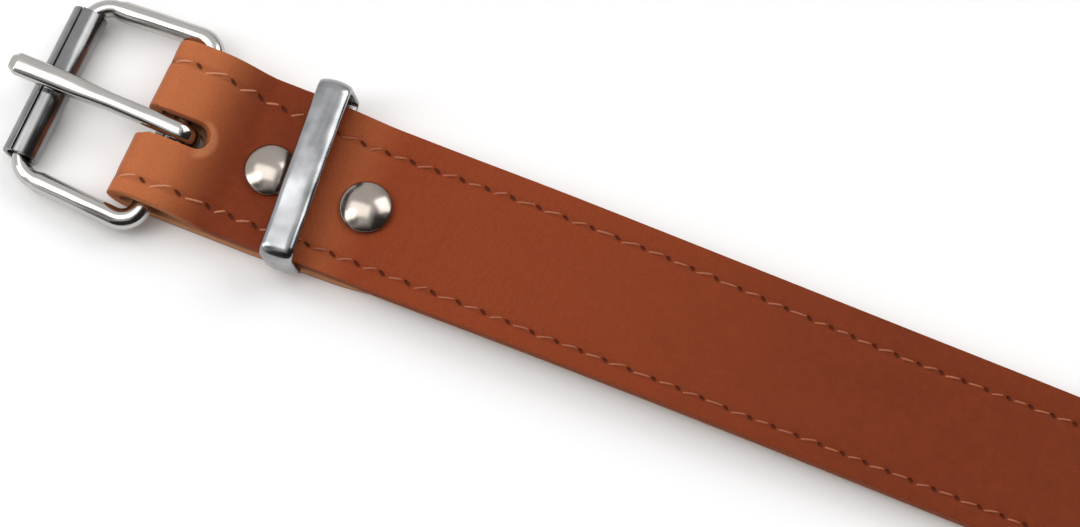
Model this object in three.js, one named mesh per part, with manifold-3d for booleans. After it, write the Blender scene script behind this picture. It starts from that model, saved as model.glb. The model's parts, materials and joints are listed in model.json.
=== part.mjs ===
// A leather dog collar, laid out open: one long strap folded round the heel bar of a
// roller buckle, its turned-back end riveted down twice, with a metal keeper between the rivets.
// Millimetres. +Z is up, +X runs along the strap from the buckle to the free end.
import * as THREE from 'three';
import { mergeVertices } from 'three/addons/utils/BufferGeometryUtils.js';
import Module from 'manifold-3d';

const wasm = await Module();
wasm.setup();
const { smoothstep, degToRad, lerp } = THREE.MathUtils;

// Strap
const strapLength = 520; // from the outside of the fold to the tip
const strapWidth = 30;
const tailWidth = 29.4; // the tail is cut a little narrower
const tailStart = 130; // from here on it has that width
const foldSpread = 1.2; // how much wider the leather is where it is folded
const leatherThickness = 2.5;
const edgeBevel = 0.5;
const foldSkew = 1.7; // degrees that the fold lies off square, with the buckle in it
const turnBackLength = 51.4; // from the outside of the fold to the cut end below
const tipLength = 20;
const tipFlat = 3.6; // width left at the very tip
const tailArch = 4.2; // how high the tail's underside stands past the turned-back end
const archStart = 78; // where the tail is highest, from the fold
const touchdown = 280; // where the tail comes down on the surface
const cutMargin = 1; // how far a cutter runs past the face it cuts

// Prong holes in the tail
const prongHoleDiameter = 5;
const prongHolePitch = 25;
const prongHoleCount = 5;
const lastHoleToTip = 70;

// Buckle frame
const wireDiameter = 3.9;
const rollerBarDiameter = 3.3;
const frameReach = 24.5; // from the heel bar's axis to the roller's axis
const heelSideGap = 1.4; // from each edge of the folded leather to the frame's arm
const rollerEndSpread = 0.1; // how much wider than the folded leather the roller end is
const heelCornerRadius = 3.9;
const rollerCornerRadius = 4.5;
const foldSlack = 2.45; // free room between the fold and the heel bar
const barGap = 0.3;
const taperStart = 0.8; // shares of the reach over which the wire thins to the roller bar
const taperEnd = 0.97;
const buckleShift = -0.7; // the buckle has slid a little to one side in its fold

// Roller
const rollerDiameter = 6.7;
const rollerWall = 0.9;
const rollerEndGap = 0.75;
const rollerSeam = 0.4;
const rollerSeamTurn = 112; // degrees, measured up from the strap's side

// Prong
const prongWidth = 3.3;
const prongTipWidth = 4.2;
const prongHeight = 3.1;
const prongOverhang = 8.3; // from the roller's axis to the tip
const prongDrift = -0.5; // sideways place of the tip
const prongTipBevel = 1.4;
const prongTipShare = 0.55; // size of the bevelled end face, as a share of the tip
const eyeThickness = 2;
const eyeGap = 0.25;
const eyeWrap = 258; // degrees of the bar that the eye goes round
const restGap = 0.3; // between the prong and the roller
const slotSideGap = 0.95;
const slotEndGap = 2.1;
const slotShortening = 1.5; // how much sooner the slot ends in the turned-back layer
const slotMouthFlare = 0.4;
const mouthStart = 0.15; // shares of the fold's radius over which the mouth narrows
const mouthBend = 0.35;
const mouthEnd = 0.8;

// Rivets
const rivetSpacing = 18.5;
const rivetEndMargin = 7.5; // from the second rivet to the turned-back end
const capDiameter = 9.6;
const capHeight = 1.9;
const capRim = 0.35;
const capUnderBevel = 0.15;
const postDiameter = 3.6;
const baseDiameter = 9;
const baseThickness = 0.8;
const baseBevel = 0.3;
const rivetGap = 0.3;
const rivetLayerGap = 1; // between the two layers at the rivets
const rivetShift = -1; // both rivets sit a little off the middle of the strap

// Keeper
const keeperWidth = 6.1;
const keeperThickness = 1.7;
const keeperLegThickness = 1.4;
const keeperFootThickness = 0.8; // the part held between the two layers
const keeperSideGap = 1;
const keeperPassage = 4.4; // height left over the strap for its free end
const keeperLayerGap = 0.25;
const keeperSkew = 4.3; // degrees from square across the strap
const keeperLean = 1.5; // how far the top stands towards the buckle
const keeperSlide = -1.2; // from midway between the rivets
const keeperShift = 0.4; // sideways, from the middle of the strap
const keeperTopRadius = 1.9;
const keeperFootRadius = 1.0;
const keeperEdge = 0.45; // square part of the half-round section, as a share of its thickness
const footBlend = 0.3; // share of the height over which the foot thickens into the leg
const topBlend = 0.7; // share of the height from which the leg thickens into the top

// How finely round things are faceted
const wireSides = 18;
const holeSides = 28;
const rivetSides = 36;
const tubeSides = 40;
const cornerSteps = 9;
const domeSteps = 8;

// Places that follow from the sizes
const foldWidth = strapWidth + foldSpread;
const foldInnerRadius = wireDiameter / 2 + barGap;
const foldRadius = foldInnerRadius + leatherThickness;
const heelX = leatherThickness + foldSlack + wireDiameter / 2;
const heelZ = leatherThickness + foldInnerRadius;
const foldInnerTop = heelZ + foldInnerRadius;
const rollerZ = rollerDiameter / 2;
const frameTilt = Math.asin((heelZ - rollerZ) / frameReach);
const rollerX = heelX - frameReach * Math.cos(frameTilt);
const rollerEndInside = foldWidth + rollerEndSpread;
const rollerLength = rollerEndInside - 2 * rollerEndGap;
const heelInside = foldWidth + 2 * heelSideGap;
const eyeRadius = wireDiameter / 2 + eyeGap + eyeThickness / 2;
const slotWidth = prongWidth + 2 * slotSideGap;
const slotEnd = heelX + eyeRadius + eyeThickness / 2 + slotEndGap;
const rivet2X = turnBackLength - rivetEndMargin;
const rivet1X = rivet2X - rivetSpacing;
const keeperX = (rivet1X + rivet2X) / 2 + keeperSlide;
const keeperRoom = keeperFootThickness + 2 * keeperLayerGap;

// The underside of the top layer, from the fold to the tip: level over the heel bar, down to
// the rivets, up a little over the keeper's foot, then along the tail and down to the surface.
const rampEnd = rivet1X - capDiameter / 2 - rivetGap;
const keeperFlat = keeperWidth / 2 + (foldWidth / 2) * Math.sin(degToRad(keeperSkew));
const underRows = [
  { x: heelX + foldInnerRadius, z: foldInnerTop },
  { x: rampEnd, z: leatherThickness + rivetLayerGap },
  { x: rivet1X, z: leatherThickness + rivetLayerGap },
  { x: keeperX - keeperFlat, z: leatherThickness + keeperRoom },
  { x: keeperX + keeperFlat, z: leatherThickness + keeperRoom },
  { x: rivet2X, z: leatherThickness + rivetLayerGap },
  { x: turnBackLength, z: leatherThickness + rivetLayerGap },
  { x: archStart, z: tailArch },
  { x: touchdown, z: 0 },
];
const widthRows = [
  { x: rivet1X, z: foldWidth / 2 },
  { x: rivet2X, z: strapWidth / 2 },
  { x: tailStart, z: tailWidth / 2 },
];

// A smooth step from each row of a table to the next
function follow(rows, x) {
  const next = rows.findIndex((row) => row.x > x);
  if (next === 0) return rows[0].z;
  if (next < 0) return rows[rows.length - 1].z;
  const before = rows[next - 1];
  return lerp(before.z, rows[next].z, smoothstep(x, before.x, rows[next].x));
}

// A closed body through rings that all have the same number of points. Each ring turns so that
// its own direction crossed with the direction of travel points outwards.
function loft(rings, closedLoop = false) {
  const count = rings[0].length;
  const positions = rings.flat().flatMap((point) => point.toArray());
  const triangles = [];
  const spans = closedLoop ? rings.length : rings.length - 1;
  for (let r = 0; r < spans; r++) {
    const here = r * count;
    const there = ((r + 1) % rings.length) * count;
    for (let k = 0; k < count; k++) {
      const next = (k + 1) % count;
      triangles.push(here + k, here + next, there + next, here + k, there + next, there + k);
    }
  }
  if (!closedLoop) {
    const last = (rings.length - 1) * count;
    for (let k = 1; k < count - 1; k++) {
      triangles.push(0, k + 1, k, last, last + k, last + k + 1);
    }
  }
  const geometry = new THREE.BufferGeometry();
  geometry.setAttribute('position', new THREE.Float32BufferAttribute(positions, 3));
  geometry.setIndex(triangles);
  return geometry;
}

function toSolid(geometry) {
  const plain = geometry.clone();
  plain.deleteAttribute('normal');
  plain.deleteAttribute('uv');
  const merged = mergeVertices(plain, 1e-4);
  return new wasm.Manifold(new wasm.Mesh({
    numProp: 3,
    vertProperties: new Float32Array(merged.attributes.position.array),
    triVerts: new Uint32Array(merged.index.array),
  }));
}

function toGeometry(solid) {
  const mesh = solid.getMesh();
  const geometry = new THREE.BufferGeometry();
  geometry.setAttribute('position', new THREE.Float32BufferAttribute(mesh.vertProperties, 3));
  geometry.setIndex(Array.from(mesh.triVerts));
  return geometry;
}

// A round plug along Z, for cutting a hole
function plug(x, y, diameter, bottom, top) {
  const radius = diameter / 2;
  const cylinder = new THREE.CylinderGeometry(radius, radius, top - bottom, holeSides);
  cylinder.rotateX(Math.PI / 2);
  cylinder.translate(x, y, (bottom + top) / 2);
  return toSolid(cylinder);
}

// The strap's cross-section with bevelled edges, set across the strap's run. Nearer the fold
// it turns, until it lies as far off square as the fold.
function strapRing(centre, normal, halfWidth) {
  const y = halfWidth - edgeBevel;
  const n = leatherThickness / 2;
  const outline = [
    [y, -n], [-y, -n], [-halfWidth, edgeBevel - n], [-halfWidth, n - edgeBevel],
    [-y, n], [y, n], [halfWidth, n - edgeBevel], [halfWidth, edgeBevel - n],
  ];
  const skew = Math.tan(degToRad(foldSkew)) * (1 - smoothstep(centre.x, foldRadius, rivet1X));
  return outline.map(([side, depth]) => new THREE.Vector3(
    centre.x + normal.x * depth + side * skew, side, centre.z + normal.z * depth,
  ));
}

function topLayerRing(x, halfWidth = follow(widthRows, x)) {
  const probe = 0.05;
  const slope = (follow(underRows, x + probe) - follow(underRows, x - probe)) / (2 * probe);
  const normal = new THREE.Vector3(-slope, 0, 1).normalize();
  const centre = new THREE.Vector3(x, 0, follow(underRows, x));
  centre.addScaledVector(normal, leatherThickness / 2);
  return strapRing(centre, normal, halfWidth);
}

function strapRings() {
  const rings = [];
  const tipSteps = 8;
  const tipStart = Math.asin(tipFlat / tailWidth);
  for (let k = 0; k < tipSteps; k++) {
    const turn = lerp(tipStart, Math.PI / 2, k / tipSteps);
    const x = strapLength - tipLength * (1 - Math.cos(turn));
    rings.push(topLayerRing(x, (tailWidth / 2) * Math.sin(turn)));
  }
  rings.push(topLayerRing(strapLength - tipLength));
  const tailSteps = 12;
  for (let k = 0; k <= tailSteps; k++) {
    rings.push(topLayerRing(lerp(touchdown, turnBackLength, k / tailSteps)));
  }
  const frontSteps = 30;
  for (let k = 1; k < frontSteps; k++) {
    rings.push(topLayerRing(lerp(turnBackLength, foldRadius, k / frontSteps)));
  }
  const foldSteps = 12;
  for (let k = 0; k <= foldSteps; k++) {
    const turn = Math.PI * (0.5 + k / foldSteps);
    const normal = new THREE.Vector3(Math.cos(turn), 0, Math.sin(turn));
    const centre = new THREE.Vector3(foldRadius, 0, heelZ);
    centre.addScaledVector(normal, foldInnerRadius + leatherThickness / 2);
    rings.push(strapRing(centre, normal, foldWidth / 2));
  }
  const down = new THREE.Vector3(0, 0, -1);
  for (const x of [rivet1X, lerp(rivet1X, rivet2X, 0.5), rivet2X, turnBackLength]) {
    const centre = new THREE.Vector3(x, 0, leatherThickness / 2);
    rings.push(strapRing(centre, down, follow(widthRows, x)));
  }
  return rings;
}

// The slot that the prong works in: open through the fold, round at its end
function slotCutter(end, bottom, top) {
  const half = slotWidth / 2;
  const mouth = half + slotMouthFlare;
  const shape = new THREE.Shape();
  shape.moveTo(-cutMargin, -mouth);
  shape.lineTo(foldRadius * mouthStart, -mouth);
  shape.quadraticCurveTo(foldRadius * mouthBend, -half, foldRadius * mouthEnd, -half);
  shape.lineTo(end - half, -half);
  shape.absarc(end - half, 0, half, -Math.PI / 2, Math.PI / 2, false);
  shape.lineTo(foldRadius * mouthEnd, half);
  shape.quadraticCurveTo(foldRadius * mouthBend, half, foldRadius * mouthStart, mouth);
  shape.lineTo(-cutMargin, mouth);
  const cutter = new THREE.ExtrudeGeometry(shape, {
    depth: top - bottom, bevelEnabled: false, curveSegments: domeSteps,
  });
  cutter.translate(0, buckleShift, bottom);
  return toSolid(cutter);
}

function strap() {
  const above = foldInnerTop + 2 * leatherThickness;
  let body = toSolid(loft(strapRings()));
  body = body.subtract(slotCutter(slotEnd, heelZ - cutMargin, above));
  body = body.subtract(slotCutter(slotEnd - slotShortening, -cutMargin, heelZ));
  for (const x of [rivet1X, rivet2X]) {
    const pocket = baseThickness + rivetGap;
    body = body.subtract(plug(x, rivetShift, postDiameter + 2 * rivetGap, -cutMargin, above));
    body = body.subtract(plug(x, rivetShift, baseDiameter + 2 * rivetGap, -cutMargin, pocket));
  }
  for (let k = 0; k < prongHoleCount; k++) {
    const x = strapLength - lastHoleToTip - k * prongHolePitch;
    body = body.subtract(plug(x, 0, prongHoleDiameter, -cutMargin, above));
  }
  return toGeometry(body);
}

// Centre line of a wire loop: a polygon whose corners are rounded, each row one corner
function roundedLoop(corners) {
  const points = [];
  corners.forEach((corner, index) => {
    const before = corners[(index + corners.length - 1) % corners.length];
    const after = corners[(index + 1) % corners.length];
    const here = new THREE.Vector2(corner.a, corner.b);
    const toBefore = new THREE.Vector2(before.a, before.b).sub(here).normalize();
    const toAfter = new THREE.Vector2(after.a, after.b).sub(here).normalize();
    const opening = Math.acos(THREE.MathUtils.clamp(toBefore.dot(toAfter), -1, 1)) / 2;
    const cut = corner.radius / Math.tan(opening);
    const middle = toBefore.clone().add(toAfter).normalize()
      .multiplyScalar(corner.radius / Math.sin(opening)).add(here);
    const from = toBefore.clone().multiplyScalar(cut).add(here).sub(middle);
    const to = toAfter.clone().multiplyScalar(cut).add(here).sub(middle);
    const sweep = Math.atan2(from.cross(to), from.dot(to));
    for (let k = 0; k <= cornerSteps; k++) {
      const turned = from.clone().rotateAround(new THREE.Vector2(), (sweep * k) / cornerSteps);
      points.push({ centre: middle.clone().add(turned), out: turned.clone().normalize() });
    }
  });
  return points;
}

// The buckle frame lies in its own plane, its heel bar along the local Y axis
function buckleFrame() {
  const heelHalf = (heelInside + wireDiameter) / 2;
  const rollerHalf = (rollerEndInside + wireDiameter) / 2;
  const corners = [
    { a: 0, b: -heelHalf, radius: heelCornerRadius },
    { a: 0, b: heelHalf, radius: heelCornerRadius },
    { a: -frameReach, b: rollerHalf, radius: rollerCornerRadius },
    { a: -frameReach, b: -rollerHalf, radius: rollerCornerRadius },
  ];
  const rings = roundedLoop(corners).map(({ centre, out }) => {
    const towardsRoller = smoothstep(-centre.x / frameReach, taperStart, taperEnd);
    const radius = lerp(wireDiameter, rollerBarDiameter, towardsRoller) / 2;
    return Array.from({ length: wireSides }, (_, k) => {
      const turn = (2 * Math.PI * k) / wireSides;
      const across = radius * Math.cos(turn);
      return new THREE.Vector3(
        centre.x + out.x * across, centre.y + out.y * across, -radius * Math.sin(turn),
      );
    });
  });
  return loft(rings, true);
}

// A rolled sheet tube: its section is a ring with a narrow seam left open
function roller() {
  const outer = rollerDiameter / 2;
  const inner = outer - rollerWall;
  const outerSeam = rollerSeam / 2 / outer;
  const innerSeam = rollerSeam / 2 / inner;
  const shape = new THREE.Shape();
  shape.absarc(0, 0, outer, outerSeam, 2 * Math.PI - outerSeam, false);
  shape.absarc(0, 0, inner, 2 * Math.PI - innerSeam, innerSeam, true);
  const tube = new THREE.ExtrudeGeometry(shape, {
    depth: rollerLength, bevelEnabled: false, curveSegments: tubeSides,
  });
  tube.translate(0, 0, -rollerLength / 2);
  tube.rotateZ(degToRad(rollerSeamTurn));
  tube.rotateX(Math.PI / 2);
  return tube;
}

// Width and thickness of the prong, as shares of its tip width and its height
const prongRows = [
  { x: 0, width: prongWidth / prongTipWidth, height: eyeThickness / prongHeight },
  { x: 0.2, width: prongWidth / prongTipWidth, height: 0.9 },
  { x: 0.4, width: prongWidth / prongTipWidth, height: 1 },
  { x: 0.68, width: 1, height: 1 },
  { x: 1, width: 1, height: 0.94 },
];
const prongStations = [0.08, 0.14, 0.2, 0.28, 0.36, 0.44, 0.52, 0.6, 0.68, 0.78, 0.88];
const prongColumn = (name) => prongRows.map((row) => ({ x: row.x, z: row[name] }));

function prongRing(centre, normal, width, height) {
  return Array.from({ length: wireSides }, (_, k) => {
    const turn = (2 * Math.PI * k) / wireSides;
    const depth = (height / 2) * Math.sin(turn);
    return new THREE.Vector3(
      centre.x + normal.x * depth,
      centre.y - (width / 2) * Math.cos(turn),
      centre.z + normal.z * depth,
    );
  });
}

// The prong, seen from its eye round the heel bar (local origin) to its tip over the roller
function prong() {
  const overRoller = rollerDiameter / 2 + restGap + prongHeight / 2;
  const towardsRoller = Math.PI + frameTilt;
  const leave = towardsRoller - Math.acos((eyeRadius - overRoller) / frameReach);
  const length = Math.sqrt(frameReach ** 2 - (overRoller - eyeRadius) ** 2) + prongOverhang;
  const wrapSteps = 20;
  const rings = [];
  for (let k = 0; k <= wrapSteps; k++) {
    const turn = leave - degToRad(eyeWrap) * (1 - k / wrapSteps);
    const normal = new THREE.Vector3(Math.cos(turn), 0, Math.sin(turn));
    rings.push(prongRing(normal.clone().multiplyScalar(eyeRadius), normal, prongWidth, eyeThickness));
  }
  const normal = new THREE.Vector3(Math.cos(leave), 0, Math.sin(leave));
  const along = new THREE.Vector3(-Math.sin(leave), 0, Math.cos(leave));
  for (const share of [...prongStations, 1 - prongTipBevel / length, 1]) {
    const shrink = share === 1 ? prongTipShare : 1;
    const centre = normal.clone().multiplyScalar(eyeRadius).addScaledVector(along, length * share);
    centre.y = prongDrift * share;
    const width = prongTipWidth * follow(prongColumn('width'), share) * shrink;
    const height = prongHeight * follow(prongColumn('height'), share) * shrink;
    rings.push(prongRing(centre, normal, width, height));
  }
  return loft(rings);
}

// The keeper: a half-round band bent into a loop, its thin foot held between the two layers
function keeper() {
  const strapTop = leatherThickness * 2 + keeperRoom;
  const footZ = leatherThickness + keeperLayerGap + keeperFootThickness / 2;
  const topZ = strapTop + keeperPassage + keeperThickness / 2;
  const half = follow(widthRows, keeperX) + keeperSideGap + keeperLegThickness / 2;
  const corners = [
    { a: half, b: footZ, radius: keeperFootRadius },
    { a: half, b: topZ, radius: keeperTopRadius },
    { a: -half, b: topZ, radius: keeperTopRadius },
    { a: -half, b: footZ, radius: keeperFootRadius },
  ];
  const lean = (z) => (-keeperLean * (z - footZ)) / (topZ - footZ);
  const rings = roundedLoop(corners).map(({ centre, out }) => {
    const share = (centre.y - footZ) / (topZ - footZ);
    const thickness = share < 0.5
      ? lerp(keeperFootThickness, keeperLegThickness, smoothstep(share, 0, footBlend))
      : lerp(keeperLegThickness, keeperThickness, smoothstep(share, topBlend, 1));
    const outline = [[-0.5, -0.5], [0.5, -0.5]];
    for (let k = 0; k <= domeSteps; k++) {
      const turn = (Math.PI * k) / domeSteps;
      const rise = keeperEdge + (1 - keeperEdge) * Math.sin(turn);
      outline.push([0.5 * Math.cos(turn), rise - 0.5]);
    }
    return outline.map(([width, depth]) => {
      const y = centre.x + out.x * depth * thickness;
      const z = centre.y + out.y * depth * thickness;
      return new THREE.Vector3(lean(z) + width * keeperWidth, y, z);
    });
  });
  return loft(rings, true);
}

// A rivet is turned round its post: flat base below, domed cap above
function rivet(x) {
  const rim = capDiameter / 2;
  const under = Math.max(follow(underRows, x - rim), follow(underRows, x + rim));
  const seat = under + leatherThickness + rivetGap / 2;
  const base = baseDiameter / 2;
  const post = postDiameter / 2;
  const profile = [
    [0, 0], [base - baseBevel, 0], [base, baseBevel], [base, baseThickness],
    [post, baseThickness], [post, seat],
    [rim - capUnderBevel, seat], [rim, seat + capUnderBevel], [rim, seat + capRim],
  ];
  const domeHeight = capHeight - capRim;
  const domeRadius = (rim ** 2 + domeHeight ** 2) / (2 * domeHeight);
  const domeTurn = Math.asin(rim / domeRadius);
  for (let k = 1; k <= domeSteps; k++) {
    const turn = domeTurn * (1 - k / domeSteps);
    const z = seat + capHeight - domeRadius * (1 - Math.cos(turn));
    profile.push([k === domeSteps ? 0 : domeRadius * Math.sin(turn), z]);
  }
  const turned = new THREE.LatheGeometry(profile.map(([r, z]) => new THREE.Vector2(r, z)), rivetSides);
  turned.rotateX(Math.PI / 2);
  return turned;
}

function finish(color, roughness, metalness) {
  return new THREE.MeshStandardMaterial({ color, roughness, metalness });
}
const leather = finish(0x96502b, 0.55, 0);
const nickel = finish(0xc9c7c2, 0.18, 1);
const rolledSteel = finish(0xa9a9a8, 0.32, 1);

function piece(name, geometry, material) {
  const mesh = new THREE.Mesh(geometry, material);
  mesh.name = name;
  return mesh;
}

const collar = new THREE.Group();
collar.add(piece('strap', strap(), leather));

const buckle = new THREE.Group();
buckle.position.set(heelX, buckleShift, heelZ);
buckle.rotation.z = -degToRad(foldSkew);
const frame = piece('buckle_frame', buckleFrame(), nickel);
frame.rotation.y = -frameTilt;
const rollerMesh = piece('roller', roller(), rolledSteel);
rollerMesh.position.set(rollerX - heelX, 0, rollerZ - heelZ);
buckle.add(frame, rollerMesh, piece('prong', prong(), nickel));
collar.add(buckle);

const keeperMesh = piece('keeper', keeper(), nickel);
keeperMesh.position.set(keeperX, keeperShift, 0);
keeperMesh.rotation.z = degToRad(keeperSkew);
collar.add(keeperMesh);

[rivet1X, rivet2X].forEach((x, index) => {
  const mesh = piece(`rivet_${index + 1}`, rivet(x), nickel);
  mesh.position.set(x, rivetShift, 0);
  collar.add(mesh);
});

// The collar stands centred on its own origin, on the surface at Z = 0
const bounds = new THREE.Box3().setFromObject(collar);
const middle = bounds.getCenter(new THREE.Vector3());
collar.position.set(-middle.x, -middle.y, -bounds.min.z);

export default collar;
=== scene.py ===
# %% [markdown]
# # A leather dog collar, laid out open
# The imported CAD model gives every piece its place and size. This lesson builds the looks over
# it: the leather strap with its stitching, the wire buckle, the keeper and the two rivets. The
# work follows the bench of a saddler: the strap is cut, punched and dressed flat, then folded.

# %% Load the frame
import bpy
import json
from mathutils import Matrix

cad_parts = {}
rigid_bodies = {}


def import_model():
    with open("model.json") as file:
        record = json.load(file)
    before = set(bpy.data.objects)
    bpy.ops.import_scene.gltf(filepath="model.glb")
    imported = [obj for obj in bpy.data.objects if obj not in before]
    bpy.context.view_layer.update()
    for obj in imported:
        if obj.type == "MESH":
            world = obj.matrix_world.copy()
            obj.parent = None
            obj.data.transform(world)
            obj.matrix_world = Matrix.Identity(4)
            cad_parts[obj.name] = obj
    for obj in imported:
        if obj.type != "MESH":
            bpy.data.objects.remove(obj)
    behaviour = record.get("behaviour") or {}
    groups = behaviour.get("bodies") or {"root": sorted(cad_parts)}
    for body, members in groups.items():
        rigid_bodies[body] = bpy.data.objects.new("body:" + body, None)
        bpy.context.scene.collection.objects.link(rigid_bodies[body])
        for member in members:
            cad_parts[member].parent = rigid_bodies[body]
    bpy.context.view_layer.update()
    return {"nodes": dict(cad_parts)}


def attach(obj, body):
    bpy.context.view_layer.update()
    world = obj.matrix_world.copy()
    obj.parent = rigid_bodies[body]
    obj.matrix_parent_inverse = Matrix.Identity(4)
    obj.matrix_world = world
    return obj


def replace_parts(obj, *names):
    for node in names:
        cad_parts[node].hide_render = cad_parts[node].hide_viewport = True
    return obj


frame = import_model()
print("CAD nodes:", sorted(frame["nodes"]))

# %% [markdown]
# ## Sizes
# All sizes are in millimetres as a maker would write them, and MM turns them into Blender's
# metres. The strap's own measure starts at the outside of the fold, so FOLD_PLACE says where
# that point lies in the frame that all the tools share. Named sizes keep the pieces in step: the
# rivets, their seats in the leather and the keeper between them all read the same values.

# %% Sizes of the collar
import json
import math
import bmesh
import bpy
import numpy as np
from mathutils import Matrix, Vector, noise

MM = 0.001
FOLD_PLACE = (-247.019, 0.3416)
LEATHER = 2.5
STRAP_LENGTH, STRAP_WIDTH, FOLD_WIDTH, TAIL_WIDTH = 520.0, 30.0, 31.2, 29.4
TURN_BACK = 51.4
TIP_LENGTH, TIP_FLAT = 20.0, 3.6
HEEL_X, HEEL_Z, BEND = 6.9, 4.75, 2.25
SKEW = math.radians(1.7)
BUCKLE_SHIFT = -0.7
SLOT_HALF = 2.6
SLOT_LOW, SLOT_TOP = 11.7, 13.2
RIVETS = (25.4, 43.9)
RIVET_Y = -1.0
KEEPER_TURN = math.radians(4.3)
print("strap", STRAP_LENGTH, "x", STRAP_WIDTH, "mm")

# %% [markdown]
# ## Small tools for working by hand
# Modelling goes in edit mode: pick some vertices, then extrude, scale or turn them. These short
# helpers keep that readable. `push` is the main one: it pulls a copy of the picked ring forward
# and scales it about a chosen middle, which is how a wire or a turned piece grows ring by ring.
# Writing each mesh as a list of points would work too, but it hides how the piece is made.

# %% Helpers for edit mode
def edit(piece):
    bpy.ops.object.select_all(action="DESELECT")
    piece.select_set(True)
    bpy.context.view_layer.objects.active = piece
    bpy.ops.object.mode_set(mode="EDIT")
    bpy.ops.mesh.select_mode(type="VERT")


def done():
    bpy.ops.object.mode_set(mode="OBJECT")


def pick(piece, test, kind="VERT"):
    bpy.ops.mesh.select_mode(type=kind)
    bpy.ops.mesh.select_all(action="DESELECT")
    cage = bmesh.from_edit_mesh(piece.data)
    for item in cage.verts if kind == "VERT" else cage.faces:
        place = item.co if kind == "VERT" else item.calc_center_median()
        if test(place):
            item.select_set(True)
    cage.select_flush_mode()
    bmesh.update_edit_mesh(piece.data)


def push(move, grow=(1, 1, 1), middle=(0, 0, 0)):
    step = tuple(value * MM for value in move)
    bpy.ops.mesh.extrude_region_move(TRANSFORM_OT_translate={"value": step})
    if tuple(grow) != (1, 1, 1):
        bpy.ops.transform.resize(value=grow, center_override=tuple(v * MM for v in middle))


def tidy(piece, angle=40):
    bpy.ops.mesh.select_all(action="SELECT")
    bpy.ops.mesh.remove_doubles(threshold=0.005 * MM)
    bpy.ops.mesh.normals_make_consistent(inside=False)
    done()
    bpy.ops.object.shade_smooth_by_angle(angle=math.radians(angle))


def finish_modifier(piece, kind, **settings):
    modifier = piece.modifiers.new(kind.title(), kind)
    for name, value in settings.items():
        setattr(modifier, name, value)
    bpy.ops.object.modifier_apply(modifier=modifier.name)


def settle(piece, name, place):
    """Put the finished piece where it belongs, with its place in its mesh."""
    piece.name = piece.data.name = name
    piece.data.transform(place)
    piece.matrix_world = Matrix.Identity(4)
    size = np.ptp([v.co for v in piece.data.vertices], axis=0) / MM
    print(name, len(piece.data.polygons), "faces, size in mm", size.round(1))


def at(x, y, z=0.0):
    return Matrix.Translation(((FOLD_PLACE[0] + x) * MM, (FOLD_PLACE[1] + y) * MM, z * MM))


# %% [markdown]
# ## The strap's run
# A real strap is one flat piece of leather, folded once round the buckle's heel bar. The table
# gives the height of the top layer's underside along the strap. The fold is half a circle and
# the turned-back end lies flat below. Cloth simulation could settle such a strap, but leather is
# stiff and its lie is known, so one line is worked out, and the flat leather is laid along it.

# %% The line that the leather follows
# Each row: the place along the strap and the height of the top layer's underside there.
UNDER = [(9.15, 7.0), (20.3, 3.5), (25.4, 3.5), (29.22, 3.8), (37.68, 3.8), (43.9, 3.5),
         (51.4, 3.5), (78.0, 4.2), (280.0, 0.0)]


def follow(rows, x):
    """A table's value at x, with an easy curve from row to row."""
    x = np.asarray(x, float)
    value = np.full(x.shape, rows[0][1], float)
    for (x0, v0), (x1, v1) in zip(rows, rows[1:]):
        t = np.clip((x - x0) / (x1 - x0), 0, 1)
        value = np.where(x >= x0, v0 + (v1 - v0) * t * t * (3 - 2 * t), value)
    return value


start_x = BEND + LEATHER
top_x = np.linspace(start_x, STRAP_LENGTH, 6000)
slope = np.gradient(follow(UNDER, top_x), top_x)
top_out = np.stack([-slope, np.ones_like(slope)], 1) / np.hypot(slope, 1)[:, None]
top_line = np.stack([top_x, follow(UNDER, top_x)], 1) + top_out * LEATHER / 2
turn = np.radians(np.linspace(270, 90, 200))
arc_out = np.stack([np.cos(turn), np.sin(turn)], 1)
arc_line = np.array([start_x, HEEL_Z]) + arc_out * (BEND + LEATHER / 2)
low_x = np.linspace(TURN_BACK, start_x, 200)
low_line = np.stack([low_x, np.full(200, LEATHER / 2)], 1)
low_out = np.tile([0.0, -1.0], (200, 1))
line = np.concatenate([low_line[:-1], arc_line[:-1], top_line])
out = np.concatenate([low_out[:-1], arc_out[:-1], top_out])
lay = np.concatenate([[0], np.cumsum(np.hypot(*np.diff(line, axis=0).T))])
FLAT_LENGTH = lay[-1]
FOLD_START, FOLD_END = lay[199], lay[398]


def lay_of(x):
    """Distance along the flat leather of a place on the top layer."""
    return float(np.interp(x, line[398:, 0], lay[398:]))


print("flat leather is", round(FLAT_LENGTH, 1), "mm long")

# %% [markdown]
# ## Cutting the strap
# A saddler cuts the strap from a hide, punches the slot and the prong holes, and rounds the tip
# while the leather is flat. The leather starts here as a flat grid too. Lengthwise cuts with
# bisect put edges where the slot's sides will be. Faces are deleted for the slot and the prong
# holes, and To Sphere rounds each opening's rim, as a punch would. Cutting with booleans after
# the fold is the other way, but it leaves a ragged mesh just where the leather bends most.

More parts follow.
